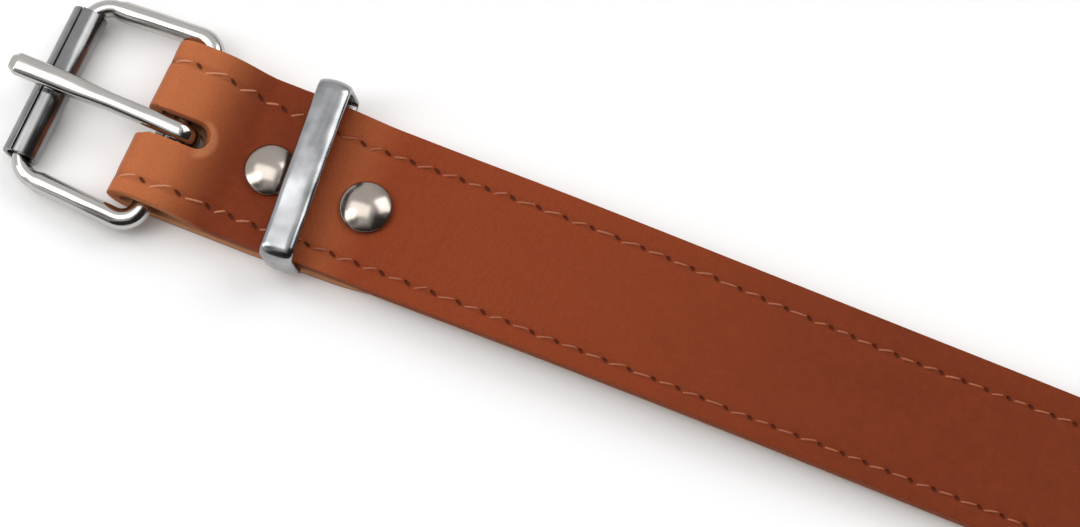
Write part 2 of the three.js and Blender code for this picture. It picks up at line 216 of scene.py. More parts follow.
# %% Cut the flat leather
bpy.ops.object.select_all(action="DESELECT")
bpy.ops.mesh.primitive_grid_add(x_subdivisions=560, y_subdivisions=1, size=1)
strap = bpy.context.object
edit(strap)
bpy.ops.mesh.select_all(action="SELECT")
bpy.ops.transform.resize(value=(FLAT_LENGTH * MM, STRAP_WIDTH * MM, 1), center_override=(0, 0, 0))
bpy.ops.transform.translate(value=(FLAT_LENGTH / 2 * MM, 0, 0))
SLOT_SIDES = (BUCKLE_SHIFT - SLOT_HALF, BUCKLE_SHIFT + SLOT_HALF)
CUTS = [-14, -12.9, -11.9, -11.1, -10.1, -8.8, -7.4, -6, -4.6, -3.3, -2, -0.7, 0.6, 1.9, 3.1,
        4.3, 5.6, 6.9, 8.1, 9.2, 10.2, 11, 11.9, 12.9, 14]
for y in CUTS:
    bpy.ops.mesh.select_all(action="SELECT")
    bpy.ops.mesh.bisect(plane_co=(0, y * MM, 0), plane_no=(0, 1, 0))
done()
print("grid of", len(strap.data.polygons), "faces")

# %% Punch the openings
def punch(u, y, radius):
    """Delete the faces inside a round hole and round its rim to that radius."""
    middle = Vector((u * MM, y * MM, 0))
    reach = radius * MM
    pick(strap, lambda p: max(abs(p.x - middle.x), abs(p.y - middle.y)) < reach * 0.9, "FACE")
    bpy.ops.mesh.delete(type="FACE")
    round_rim(u, y, radius, lambda p: (p - middle).length < reach * 1.75)


def round_rim(u, y, radius, near):
    """Draw the rim's vertices that lie near onto a circle."""
    middle = Vector((u * MM, y * MM, 0))
    bpy.ops.mesh.select_mode(type="VERT")
    bpy.ops.mesh.select_all(action="DESELECT")
    cage = bmesh.from_edit_mesh(strap.data)
    rim = [v for v in cage.verts if v.is_boundary and near(v.co)]
    for v in rim:
        v.select_set(True)
    cage.select_flush_mode()
    bmesh.update_edit_mesh(strap.data)
    bpy.ops.transform.tosphere(value=1, center_override=middle)
    cage = bmesh.from_edit_mesh(strap.data)
    now = np.mean([(v.co - middle).length for v in cage.verts if v.select])
    grow = radius * MM / now
    bpy.ops.transform.resize(value=(grow, grow, 1), center_override=middle)


edit(strap)
slot_low = FOLD_START - (SLOT_LOW - start_x)
slot_high = lay_of(SLOT_TOP)
pick(strap, lambda p: SLOT_SIDES[0] * MM < p.y < SLOT_SIDES[1] * MM
     and (slot_low + 0.4) * MM < p.x < (slot_high - 0.4) * MM, "FACE")
bpy.ops.mesh.delete(type="FACE")
for end, way in ((slot_low, -1), (slot_high, 1)):
    middle = end - way * SLOT_HALF
    round_rim(middle, BUCKLE_SHIFT, SLOT_HALF, lambda p: abs(p.y - BUCKLE_SHIFT * MM) < 3 * MM
              and (p.x - middle * MM) * way > 0.05 * MM and abs(p.x - middle * MM) < 5 * MM)
fold_middle = (FOLD_START + FOLD_END) / 2
pick(strap, lambda p: abs(p.x - fold_middle * MM) < 4 * MM
     and min(abs(p.y - side * MM) for side in SLOT_SIDES) < 0.05 * MM)
bpy.ops.transform.resize(value=(1, 1.13, 1), center_override=(0, BUCKLE_SHIFT * MM, 0))
prong_holes = [STRAP_LENGTH - 70 - 25 * k for k in range(5)]
for x in prong_holes:
    punch(lay_of(x), 0, 2.5)
done()
print("slot and", len(prong_holes), "prong holes punched")

# %% Round the tip
edit(strap)
columns = sorted({round(v.co.x, 6) for v in bmesh.from_edit_mesh(strap.data).verts
                  if v.co.x > (FLAT_LENGTH - TIP_LENGTH) * MM})
for x in columns:
    across = 1 - (x / MM - (FLAT_LENGTH - TIP_LENGTH)) / TIP_LENGTH
    grow = max(math.sqrt(max(1 - (1 - across) ** 2, 0)), TIP_FLAT / STRAP_WIDTH)
    pick(strap, lambda p: abs(p.x - x) < 0.01 * MM)
    bpy.ops.transform.resize(value=(1, grow, 1), center_override=(x, 0, 0))
tidy(strap)
print("tip rounded over", len(columns), "rows")

# %% [markdown]
# ## Thickness and dressed edges
# Leather of this weight is 2.5 mm thick. Solidify gives the sheet its wall, evenly to both sides
# of the line that it will follow. A small rounded bevel on every sharp edge is what an edge tool
# and a rub with wax do on the bench. It comes before the fold, while all edges are still plain to
# find. The rivets' seats are drilled next, because their round walls need no bevel.

# %% Thicken the leather and dress its edges
finish_modifier(strap, "SOLIDIFY", thickness=LEATHER * MM, offset=0, use_even_offset=False)
finish_modifier(strap, "BEVEL", width=0.72 * MM, segments=3, limit_method="ANGLE",
                angle_limit=math.radians(60), profile=0.5)
print("dressed strap has", len(strap.data.polygons), "faces")

# %% Seats for the rivets
def drill(u, y, radius, low, high):
    """Take a round hole out of the leather between two depths."""
    bpy.ops.object.select_all(action="DESELECT")
    bpy.ops.mesh.primitive_cylinder_add(vertices=40, radius=radius * MM, depth=(high - low) * MM,
                                        location=(u * MM, y * MM, (high + low) / 2 * MM))
    cutter = bpy.context.object
    bpy.ops.object.select_all(action="DESELECT")
    bpy.context.view_layer.objects.active = strap
    finish_modifier(strap, "BOOLEAN", object=cutter, operation="DIFFERENCE", solver="EXACT")
    bpy.data.objects.remove(cutter)


for x in RIVETS:
    below = FOLD_START - (x - start_x)
    drill(below, RIVET_Y, 2.1, -2, 2)
    drill(below, RIVET_Y, 4.8, LEATHER / 2 - 1.1, 2)
    drill(lay_of(x), RIVET_Y, 2.1, -2, 2)
print("rivet seats cut")

# %% [markdown]
# ## Where the stitches go
# Both rows were sewn on the flat strap. The stitches are about 5 mm long, a little longer near
# the buckle, and the rows wander by a millimetre as hand-guided ones do. An even spacing would
# be simpler, but it looks like a machine's. So each row of the tables gives a stitch's number,
# its place along the strap and its distance from the middle, and the rest lie evenly between.

# %% The two rows of stitches
FAR_ROW = [(1, 12.6, 10.9), (2, 17.9, 10.8), (3, 23.1, 10.5), (6, 38.8, 9.9), (9, 53.1, 10.3),
           (12, 67.6, 10.6), (15, 82.9, 10.7), (18, 97.6, 10.6), (21, 111.5, 10.2),
           (24, 124.9, 9.8), (28, 141.6, 9.4), (32, 158.6, 9.6), (36, 175.3, 9.8),
           (50, 235.0, 10.5), (65, 299.0, 11.2), (117, 521.0, 11.2)]
NEAR_ROW = [(2, 12.2, -11.7), (3, 17.6, -11.3), (5, 26.9, -11.3), (7, 36.9, -11.3),
            (10, 51.3, -11.2), (13, 66.2, -11.2), (16, 80.4, -11.5), (19, 94.2, -11.4),
            (22, 108.1, -11.3), (25, 121.8, -11.5), (28, 135.0, -11.3), (31, 147.8, -11.3),
            (34, 160.8, -11.1), (37, 173.6, -11.0), (52, 237.5, -11.0), (118, 521.0, -11.2)]


def row_lines(row, before):
    """Stitch numbers, places along the flat leather and offsets, also round the fold."""
    first = lay_of(row[0][1])
    extra = [(row[0][0] - k, first - step) for k, step in before]
    numbers = [n for n, _ in extra[::-1]] + [n for n, _, _ in row]
    places = [u for _, u in extra[::-1]] + [lay_of(x) for _, x, _ in row]
    sides = [row[0][2] + 0.3 * math.copysign(1, row[0][2])] * len(extra) + [y for _, _, y in row]
    return np.array(numbers, float), np.array(places), np.array(sides)


FAR = row_lines(FAR_ROW, [(1, 6.7), (2, 12.0), (3, 17.2), (12, 64.5)])
NEAR = row_lines(NEAR_ROW, [(1, 6.4), (2, 11.9), (3, 17.0), (12, 64.5)])
print("stitches in the far row:", int(FAR[0][-1] - FAR[0][0]))

# %% [markdown]
# ## Folding the strap
# Blender's Bend tool needs a window, so the fold is made by moving each vertex: its distance
# along the flat leather picks a point on the run, and its depth in the leather goes along the
# outward direction there. The flat place stays with each vertex as an attribute, so the grain
# and the stitch holes follow the leather round the fold. The leather is a little wider at the
# fold and narrower at the tail. The turned-back end is trimmed slimmer, so that it goes out of
# sight under the top layer. Pressed dents at the rivets, the keeper and the stitches go in too.

# %% Fold the strap round the heel bar
def row_at(u, side):
    numbers, places, offsets = FAR if side > 0 else NEAR
    phase = np.interp(u, places, numbers)
    gained = np.interp(u + 2, places, numbers) - np.interp(u - 2, places, numbers)
    return phase, np.interp(u, places, offsets), 1 / np.maximum(gained, 0.1) * 4


def smooth(value, low, high):
    t = np.clip((value - low) / (high - low), 0, 1)
    return t * t * (3 - 2 * t)


# Each row: the place along the strap and half its width there.
HALF_WIDTHS = [(RIVETS[0], FOLD_WIDTH / 2), (RIVETS[1], STRAP_WIDTH / 2), (130.0, TAIL_WIDTH / 2)]


def on_the_run(u, y, height):
    """Where a place of the flat leather comes to lie once the strap is folded."""
    spot = [np.interp(u, lay, line[:, k]) for k in (0, 1)]
    lift = [np.interp(u, lay, out[:, k]) for k in (0, 1)]
    trim = 0.3 * (1 - smooth(u, FOLD_START - 1, FOLD_END - 3)) + (1 - smooth(u, -3, 9))
    extra = follow(HALF_WIDTHS, spot[0]) - STRAP_WIDTH / 2 - trim
    wide = y + extra * (y / (STRAP_WIDTH / 2)) ** 3
    skew = math.tan(SKEW) * (1 - smooth(spot[0], start_x, RIVETS[0]))
    return np.stack([spot[0] + lift[0] * height + wide * skew, wide,
                     spot[1] + lift[1] * height], 1)


flat = np.zeros(len(strap.data.vertices) * 3)
strap.data.vertices.foreach_get("co", flat)
u, y, depth = flat.reshape(-1, 3).T / MM
centre = np.stack([np.interp(u, lay, line[:, k]) for k in (0, 1)], 1)
phases, row_y, lengths = (np.where(y > 0, far, near)
                          for far, near in zip(row_at(u, 1), row_at(u, -1)))
offset = y - row_y
face = smooth(depth, 0.2, LEATHER / 2)
on_top = (u > FOLD_END).astype(float)
press = 0.14 * np.exp(-(offset / 0.8) ** 2)
for x in RIVETS:
    distance = np.hypot(centre[:, 0] - x, y - RIVET_Y)
    press += on_top * 0.22 * np.exp(-((distance - 5.3) / 0.9) ** 2)
keeper_x = sum(RIVETS) / 2 - 1.2
keeper_line = centre[:, 0] - (keeper_x - y * math.tan(KEEPER_TURN))
press += on_top * 0.16 * np.exp(-(keeper_line / 2.6) ** 2) * smooth(np.abs(y), 8, 15)
swell = np.array([noise.noise(Vector((a / 16, b / 9, 3.0))) for a, b in zip(u, y)])
raised = face * (0.09 * swell - press)
folded = on_the_run(u, y, depth + raised)
strap.data.vertices.foreach_set("co", (folded * MM).ravel())
for name, values in (("lay", (u, y, depth)), ("stitch", (phases, offset, lengths))):
    attribute = strap.data.attributes.new(name, "FLOAT_VECTOR", "POINT")
    attribute.data.foreach_set("vector", np.stack(values, 1).astype(np.float32).ravel())
edit(strap)
tidy(strap, 50)
settle(strap, "strap_leather", at(0, 0))
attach(strap, "collar")
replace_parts(strap, "strap")

# %% [markdown]
# ## The thread
# Waxed thread comes up through one slit and goes down through the next. One stitch is modelled:
# a short capsule, pinched and sunk at both ends. Its copies are laid along both rows on the two
# faces of the leather and joined into one piece, because there are several hundred of them. They
# lie on the flat leather first and go round the fold with it. Each differs a little from the
# last in length, slant and place, as a hand's pull does. Where the turned-back layer hides the
# strap's underside, the row is left out.

# %% Model one stitch and lay the rows
bpy.ops.object.select_all(action="DESELECT")
bpy.ops.mesh.primitive_cylinder_add(vertices=8, radius=1, depth=2, end_fill_type="NGON",
                                    rotation=(0, math.pi / 2, 0))
stitch = bpy.context.object
bpy.ops.object.transform_apply(location=False, rotation=True, scale=False)
edit(stitch)
for x in (-0.75, -0.35, 0, 0.35, 0.75):
    bpy.ops.mesh.select_all(action="SELECT")
    bpy.ops.mesh.bisect(plane_co=(x, 0, 0), plane_no=(1, 0, 0))
for x, thin, sink in ((1, 0.45, -1.3), (0.75, 0.85, -0.45), (0.35, 1, -0.08)):
    for way in (-1, 1):
        pick(stitch, lambda p: abs(p.x - way * x) < 0.01)
        bpy.ops.transform.resize(value=(1, thin, thin), center_override=(way * x, 0, 0))
        bpy.ops.transform.translate(value=(0, 0, sink))
tidy(stitch)
one = np.array([v.co for v in stitch.data.vertices])
faces = [tuple(p.vertices) for p in stitch.data.polygons]
bpy.data.objects.remove(stitch)
THREAD = 0.25
points, polygons = [], []
for numbers, places, offsets in (FAR, NEAR):
    for n in np.arange(math.ceil(numbers[0]) + 1, numbers[-1] - 4):
        u0, u1 = np.interp([n, n + 1], numbers, places)
        middle = (u0 + u1) / 2
        near_buckle = 1 - smooth(middle, FOLD_END + 45, FOLD_END + 95)
        span = ((u1 - u0) / 2 - 0.55 - 0.3 * near_buckle) * (1 + 0.1 * math.sin(n * 1.7))
        y = np.interp(middle, places, offsets) + 0.08 * math.sin(n * 3.1)
        slant = math.radians(10 + 10 * near_buckle + 7 * math.sin(n * 2.4))
        for face_side in (1, -1):
            if face_side < 0 and middle < lay_of(TURN_BACK):
                continue
            base = face_side * (LEATHER / 2 - 0.02)
            start = len(points)
            for a, b, c in one:
                along, across, rise = a * span, b * THREAD, c * THREAD
                du = along * math.cos(slant) - across * math.sin(slant)
                dy = along * math.sin(slant) + across * math.cos(slant)
                points.append((middle + du, y + dy, base + face_side * (rise - 0.12)))
            polygons += [tuple(start + k for k in (f if face_side > 0 else f[::-1])) for f in faces]
mesh = bpy.data.meshes.new("stitching")
points = on_the_run(*np.array(points).T)
mesh.from_pydata([tuple(p * MM) for p in points], [], polygons)
stitching = bpy.data.objects.new("stitching", mesh)
bpy.context.scene.collection.objects.link(stitching)
edit(stitching)
tidy(stitching, 80)
settle(stitching, "stitching", at(0, 0))
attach(stitching, "collar")

# %% [markdown]
# ## The buckle frame
# The frame is one bent wire, welded shut in the heel bar. It is made here as it is made there:
# a round section is drawn along the heel bar, bent round a corner with Spin, drawn along an arm,
# thinned for the roller bar, and so on until it meets its own start. A curve with a bevel is
# quicker, but its bends would pinch at the tight heel corners and the wire couldn't thin.

# %% Bend the frame from wire
WIRE, ROLLER_BAR, REACH = 3.9, 3.3, 24.5
HEEL_HALF, ROLLER_HALF = (34.0 + WIRE) / 2, (31.3 + WIRE) / 2
ROLLER, ROLLER_WALL, ROLLER_LENGTH = 6.7, 0.9, 29.8
TILT = math.asin((HEEL_Z - ROLLER / 2) / REACH)
THINNING = 1.2
# Each row: the corner's place and the radius of its bend.
corners = [(0.0, HEEL_HALF, 3.75), (-REACH, ROLLER_HALF, 4.5), (-REACH, -ROLLER_HALF, 4.5),
           (0.0, -HEEL_HALF, 3.75)]


def corner_arc(k):
    """Where the bend at a corner starts and ends, its middle, and the angle that it turns."""
    here = Vector(corners[k][:2])
    to_last = (Vector(corners[k - 1][:2]) - here).normalized()
    to_next = (Vector(corners[(k + 1) % 4][:2]) - here).normalized()
    half = to_last.angle(to_next) / 2
    radius = corners[k][2]
    cut = radius / math.tan(half)
    middle = here + (to_last + to_next).normalized() * radius / math.sin(half)
    return here + to_last * cut, here + to_next * cut, middle, math.pi - 2 * half


bpy.ops.object.select_all(action="DESELECT")
bpy.ops.mesh.primitive_circle_add(vertices=28, radius=WIRE / 2 * MM, rotation=(math.pi / 2, 0, 0))
wire = bpy.context.object
bpy.ops.object.transform_apply(location=False, rotation=True, scale=False)
edit(wire)
bpy.ops.mesh.select_all(action="SELECT")
spot = Vector((0.0, 0.0))
for k in range(4):
    begin, end, middle, angle = corner_arc(k)
    way = (begin - spot).normalized()
    thin = ROLLER_BAR / WIRE if k == 1 else WIRE / ROLLER_BAR if k == 3 else 1
    if k == 1:
        step = begin - spot - way * THINNING
        push((step.x, step.y, 0))
        push((way.x * THINNING, way.y * THINNING, 0), (thin,) * 3, (begin.x, begin.y, 0))
    elif k == 3:
        spot += way * THINNING
        push((way.x * THINNING, way.y * THINNING, 0), (thin,) * 3, (spot.x, spot.y, 0))
        step = begin - spot
        push((step.x, step.y, 0))
    else:
        step = begin - spot
        push((step.x, step.y, 0))
    bpy.ops.mesh.spin(steps=10, angle=-angle, center=(middle.x * MM, middle.y * MM, 0),
                      axis=(0, 0, 1))
    spot = end
push((-spot.x, -spot.y, 0))
tidy(wire, 60)
heel = at(HEEL_X, BUCKLE_SHIFT, HEEL_Z) @ Matrix.Rotation(-SKEW, 4, "Z")
settle(wire, "frame_wire", heel @ Matrix.Rotation(-TILT, 4, "Y"))
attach(wire, "frame")
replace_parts(wire, "buckle_frame")

# %% [markdown]
# ## The roller
# A strip of sheet metal is rolled into a tube round the frame's far bar, and its two long edges
# almost meet: the seam stays open by a hair. A tube without end caps loses a narrow strip of
# faces, gets its wall with Solidify, and a fine bevel takes the sharpness off its edges. Two
# cylinders and a boolean give the same tube, but then the seam needs a third cutter.

# %% Roll the roller
bpy.ops.object.select_all(action="DESELECT")
bpy.ops.mesh.primitive_cylinder_add(vertices=54, radius=ROLLER / 2 * MM, end_fill_type="NOTHING",
                                    depth=ROLLER_LENGTH * MM, rotation=(math.pi / 2, 0, 0))
tube = bpy.context.object
bpy.ops.object.transform_apply(location=False, rotation=True, scale=False)
edit(tube)
seam = Matrix.Rotation(-math.radians(112), 4, "Y") @ Vector((ROLLER / 2 * MM, 0, 0))
pick(tube, lambda p: (Vector((p.x, 0, p.z)) - seam).length < 0.2 * MM, "FACE")
bpy.ops.mesh.delete(type="FACE")
bpy.ops.mesh.select_all(action="SELECT")
bpy.ops.mesh.normals_make_consistent(inside=False)
done()
finish_modifier(tube, "SOLIDIFY", thickness=ROLLER_WALL * MM, offset=-1)
finish_modifier(tube, "BEVEL", width=0.14 * MM, segments=2, limit_method="ANGLE",
                angle_limit=math.radians(50))
edit(tube)
tidy(tube, 40)
roller_place = heel @ Matrix.Translation((-REACH * math.cos(TILT) * MM, 0,
                                          (ROLLER / 2 - HEEL_Z) * MM))
settle(tube, "roller_tube", roller_place)
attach(tube, "roller")
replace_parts(tube, "roller")

# %% [markdown]
# ## The prong
# The prong is a flattened wire. Its eye is curled round the heel bar and its tip rests over the
# roller. Its section is squarish with round corners, so a circle is drawn out to one first. The
# shaft is pushed out ring by ring from a table of widths and thicknesses, then the first ring is
# picked again and spun backwards to curl the eye. A loft along a curve would twist in the eye.

# %% Forge the prong
EYE = 1.95 + 0.25 + 1.0
OVER = ROLLER / 2 + 0.3 + 3.1 / 2
LEAVE = math.pi + TILT - math.acos((EYE - OVER) / REACH)
SHAFT = math.sqrt(REACH ** 2 - (OVER - EYE) ** 2) + 8.3
# Each row: the share of the shaft's length and the width or height there.
WIDTHS = [(0, 3.3), (0.4, 3.3), (0.68, 4.2), (1, 4.2)]
HEIGHTS = [(0, 2.0), (0.2, 2.79), (0.4, 3.1), (0.68, 3.1), (1, 2.91)]
bpy.ops.object.select_all(action="DESELECT")
bpy.ops.mesh.primitive_circle_add(vertices=32, radius=1 * MM)
prong = bpy.context.object
edit(prong)
SQUARENESS = 2.7
for share in range(1, 8):
    around = math.radians(share * 90 / 8)
    square = (math.cos(around) ** SQUARENESS + math.sin(around) ** SQUARENESS) ** (-1 / SQUARENESS)
    pick(prong, lambda p: abs(math.atan2(abs(p.y), abs(p.x)) - around) < 0.01)
    bpy.ops.transform.resize(value=(square, square, 1), center_override=(0, 0, 0))
bpy.ops.mesh.select_all(action="SELECT")
bpy.ops.transform.resize(value=(1, 1.65, 1), center_override=(0, 0, 0))
bpy.ops.transform.translate(value=(EYE * MM, 0, 0))
last, wide_now, high_now = 0.0, 3.3, 2.0
for share in [0.05, 0.1, 0.16, 0.22, 0.3, 0.4, 0.5, 0.6, 0.7, 0.8, 0.9, 0.957, 1]:
    blunt = 0.58 if share == 1 else 1
    wide_next = float(follow(WIDTHS, share)) * blunt
    high_next = float(follow(HEIGHTS, share)) * blunt
    push((0, -0.5 * (share - last), SHAFT * (share - last)),
         (high_next / high_now, wide_next / wide_now, 1), (EYE, -0.5 * share, SHAFT * share))
    last, wide_now, high_now = share, wide_next, high_next
bpy.ops.transform.translate(value=(-0.3 * MM, 0, 0))
bpy.ops.mesh.edge_face_add()
pick(prong, lambda p: abs(p.z) < 0.01 * MM)
bpy.ops.mesh.spin(steps=22, angle=-math.radians(258), center=(0, 0, 0), axis=(0, 1, 0))
cage = bmesh.from_edit_mesh(prong.data)
eye_end = np.mean([v.co for v in cage.verts if v.select], axis=0) / MM
bpy.ops.mesh.edge_face_add()
print("eye ends at", eye_end.round(2))
tidy(prong, 50)
finish_modifier(prong, "BEVEL", width=0.16 * MM, segments=2, limit_method="ANGLE",
                angle_limit=math.radians(25))
bpy.ops.object.shade_smooth_by_angle(angle=math.radians(40))
settle(prong, "prong_wire", heel @ Matrix.Rotation(-LEAVE, 4, "Y"))
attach(prong, "prong")
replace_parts(prong, "prong")

# %% [markdown]
# ## The keeper
# The keeper is half-round bar bent into a loop: flat inside, domed outside, with a thinner foot
# held between the two layers of leather. The strap's free end goes through it above the rivets.
# Its section is a circle cut in half by bisect and closed below. It is then drawn round the four
# corners like the frame's wire, because a bent bar keeps its section all the way round.

# %% Bend the keeper
KEEPER, KEEPER_TOP, KEEPER_LEG, KEEPER_FOOT = 6.1, 1.7, 1.4, 0.8
FOOT_Z, TOP_Z, LEAN = 3.15, 11.55, 1.5
TOP_R, FOOT_R = 1.9, 1.0
HALF = float(follow([(RIVETS[0], 15.6), (RIVETS[1], 15.0)], keeper_x)) + 1 + KEEPER_LEG / 2
bpy.ops.object.select_all(action="DESELECT")
bpy.ops.mesh.primitive_circle_add(vertices=32, radius=1 * MM, rotation=(math.pi / 2, 0, 0))
keeper = bpy.context.object
bpy.ops.object.transform_apply(location=False, rotation=True, scale=False)
edit(keeper)
bpy.ops.mesh.select_all(action="SELECT")
bpy.ops.mesh.bisect(plane_co=(0, 0, 0), plane_no=(0, 0, 1), clear_inner=True)
pick(keeper, lambda p: abs(p.z) < 0.001 * MM)
bpy.ops.mesh.extrude_region_move(TRANSFORM_OT_translate={"value": (0, 0, -0.45 / 0.55 * MM)})
bpy.ops.mesh.edge_face_add()
bpy.ops.mesh.select_all(action="SELECT")
bpy.ops.transform.resize(value=(KEEPER / 2, 1, 0.55 * KEEPER_TOP), center_override=(0, 0, 0))
bpy.ops.transform.translate(value=(0, 0, (TOP_Z - 0.05 * KEEPER_TOP) * MM))


def lean(z):
    return -LEAN * (z - FOOT_Z) / (TOP_Z - FOOT_Z)


def corner(steps, y, z):
    bpy.ops.mesh.spin(steps=steps, angle=math.pi / 2, center=(0, y * MM, z * MM), axis=(1, 0, 0))


def leg(stops, y):
    """Draw the section from stop to stop, each a height and the bar's thickness there."""
    for (z, thick), (z_next, thick_next) in zip(stops, stops[1:]):
        push((lean(z_next) - lean(z), 0, z_next - z), (1, thick_next / thick, 1), (0, y, 0))


bpy.ops.transform.translate(value=(lean(TOP_Z) * MM, 0, 0))
flat_run, foot_run = HALF - TOP_R, HALF - FOOT_R
stops = [(TOP_Z - TOP_R, KEEPER_TOP), (TOP_Z - TOP_R - 0.8, KEEPER_LEG),
         (FOOT_Z + 2.4, KEEPER_LEG), (FOOT_Z + FOOT_R, KEEPER_FOOT)]
push((0, flat_run, 0))
corner(8, flat_run, TOP_Z - TOP_R)
leg(stops, HALF)
corner(6, foot_run, FOOT_Z + FOOT_R)
push((0, -2 * foot_run, 0))
corner(6, -foot_run, FOOT_Z + FOOT_R)
leg(stops[::-1], -HALF)
corner(8, -flat_run, TOP_Z - TOP_R)
push((0, flat_run, 0))
bpy.ops.mesh.select_all(action="SELECT")
bpy.ops.mesh.remove_doubles(threshold=0.02 * MM)
bpy.ops.mesh.normals_make_consistent(inside=False)
done()
finish_modifier(keeper, "BEVEL", width=0.22 * MM, segments=3, limit_method="ANGLE",
                angle_limit=math.radians(55))
edit(keeper)
tidy(keeper, 45)
settle(keeper, "keeper_loop", at(keeper_x, 0.4) @ Matrix.Rotation(KEEPER_TURN, 4, "Z"))
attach(keeper, "collar")
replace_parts(keeper, "keeper")

# %% [markdown]
# ## The rivets
# A rivet is a turned piece: base cap, post and domed cap on one axis. A disc is extruded upwards
# and scaled at every step, out for the caps and in for the post, until the dome closes at its
# middle. Three cylinders and a sphere would show seams where the real cap is pressed from one
# sheet. Each rivet is turned for the height at which the leather carries its cap.

# %% Turn the rivets
CAP, CAP_HEIGHT, CAP_RIM, POST, BASE, BASE_HEIGHT = 4.8, 1.9, 0.35, 1.8, 4.5, 0.8
DOME_RINGS = 12


def turned_rivet(name, x, seat):
    bpy.ops.object.select_all(action="DESELECT")
    bpy.ops.mesh.primitive_circle_add(vertices=56, radius=(BASE - 0.3) * MM, fill_type="NGON")
    piece = bpy.context.object
    edit(piece)
    bpy.ops.mesh.select_mode(type="FACE")
    bpy.ops.mesh.select_all(action="SELECT")
    rings = [(BASE - 0.1, 0.1), (BASE, 0.3), (BASE, BASE_HEIGHT - 0.1), (BASE - 0.1, BASE_HEIGHT),
             (POST, BASE_HEIGHT), (POST, seat), (CAP - 0.25, seat), (CAP - 0.06, seat + 0.08),
             (CAP, seat + 0.22), (CAP - 0.02, seat + CAP_RIM)]
    dome = CAP_HEIGHT - CAP_RIM
    ball = (CAP ** 2 + dome ** 2) / (2 * dome)
    for k in range(1, DOME_RINGS):
        angle = math.asin(CAP / ball) * (1 - k / DOME_RINGS)
        rings.append((ball * math.sin(angle), seat + CAP_HEIGHT - ball * (1 - math.cos(angle))))
    radius, z = BASE - 0.3, 0.0
    for radius_next, z_next in rings:
        grow = radius_next / radius
        push((0, 0, z_next - z), (grow, grow, 1), (0, 0, z_next))
        radius, z = radius_next, z_next
    push((0, 0, seat + CAP_HEIGHT - z))
    bpy.ops.mesh.merge(type="CENTER")
    tidy(piece, 50)
    settle(piece, name, at(x, RIVET_Y))
    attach(piece, "collar")
    return piece


for name, x in zip(("rivet_1", "rivet_2"), RIVETS):
    seat = max(float(follow(UNDER, x - CAP)), float(follow(UNDER, x + CAP))) + LEATHER + 0.15
    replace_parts(turned_rivet(name + "_turned", x, seat), name)

# %% [markdown]
# ## Leather finish
# The leather is a warm cognac brown, paler where the fold stretches it, where the keeper rubs it
# and at the rim of the slot's end, with a fine pebbled grain and soft mottling. From the keeper
# on it is also painted paler, painted light that lifts the keeper's cast shadow. All patterns read
# the flat place of each vertex, kept in the `lay` attribute, so they follow the strap. Painted
# textures would need unwrapping and show no more. The needle slits are drawn from the `stitch`
# attribute: a short slanted cut at each whole number, painted dark as the shade inside it, with a
# dimple round it. The edges of the turned-back layer are raw and tan, the others are dyed, and the
# flesh side is fibrous. Near the fold the dyed edge is painted lighter, painted light that lifts
# the shade it lies in.

# %% Node helpers
def tone(red, green, blue):
    """A colour as read off a screen, turned into the linear light that shaders use."""
    return tuple(((c / 255 + 0.055) / 1.055) ** 2.4 if c > 10 else c / 255 / 12.92
                 for c in (red, green, blue)) + (1.0,)


class Sheet:
    """A material's node tree with short names for the nodes that this lesson uses."""

    def __init__(self, name, owner=None):
        self.material = owner or bpy.data.materials.new(name)
        self.material.use_nodes = True
        self.tree = self.material.node_tree
        self.shader = self.tree.nodes.get("Principled BSDF")

    def node(self, kind, **settings):
        made = self.tree.nodes.new("ShaderNode" + kind)
        for name, value in settings.items():
            setattr(made, name, value)
        return made

    def link(self, source, target):
        if isinstance(source, (int, float, tuple)):
            target.default_value = source
        else:
            self.tree.links.new(source, target)

    def math(self, how, a, b=0.0, c=0.0):
        made = self.node("Math", operation=how)
        for socket, value in zip(made.inputs, (a, b, c)):
            self.link(value, socket)
        return made.outputs[0]

    def between(self, value, low, high, start=0.0, end=1.0):
        made = self.node("MapRange", interpolation_type="SMOOTHSTEP")
        for k, item in enumerate((value, low, high, start, end)):
            self.link(item, made.inputs[k])
        return made.outputs[0]

    def mix(self, share, a, b, how="MIX"):
        made = self.node("Mix", data_type="RGBA", blend_type=how)
        self.link(share, made.inputs[0])
        self.link(a, made.inputs[6])
        self.link(b, made.inputs[7])
        return made.outputs[2]

    def scaled(self, vector, factor):
        made = self.node("VectorMath", operation="MULTIPLY")
        self.link(vector, made.inputs[0])
        made.inputs[1].default_value = factor
        return made.outputs[0]

    def noise(self, vector, scale, detail=3.0, rough=0.5):
        made = self.node("TexNoise")
        self.link(vector, made.inputs["Vector"])
        made.inputs["Scale"].default_value = scale
        made.inputs["Detail"].default_value = detail
        made.inputs["Roughness"].default_value = rough
        return made.outputs["Fac"]

    def bump(self, height, strength, distance, before=None):
        made = self.node("Bump")
        made.inputs["Strength"].default_value = strength
        made.inputs["Distance"].default_value = distance
        self.link(height, made.inputs["Height"])
        if before is not None:
            self.link(before, made.inputs["Normal"])
        return made.outputs[0]


print("helpers ready")

# %% Leather
sheet = Sheet("cognac_leather")
laid = sheet.node("Attribute", attribute_name="lay").outputs["Vector"]
sewn = sheet.node("SeparateXYZ")
sheet.link(sheet.node("Attribute", attribute_name="stitch").outputs["Vector"], sewn.inputs[0])
parts = sheet.node("SeparateXYZ")
sheet.link(laid, parts.inputs[0])
along, across, deep = parts.outputs

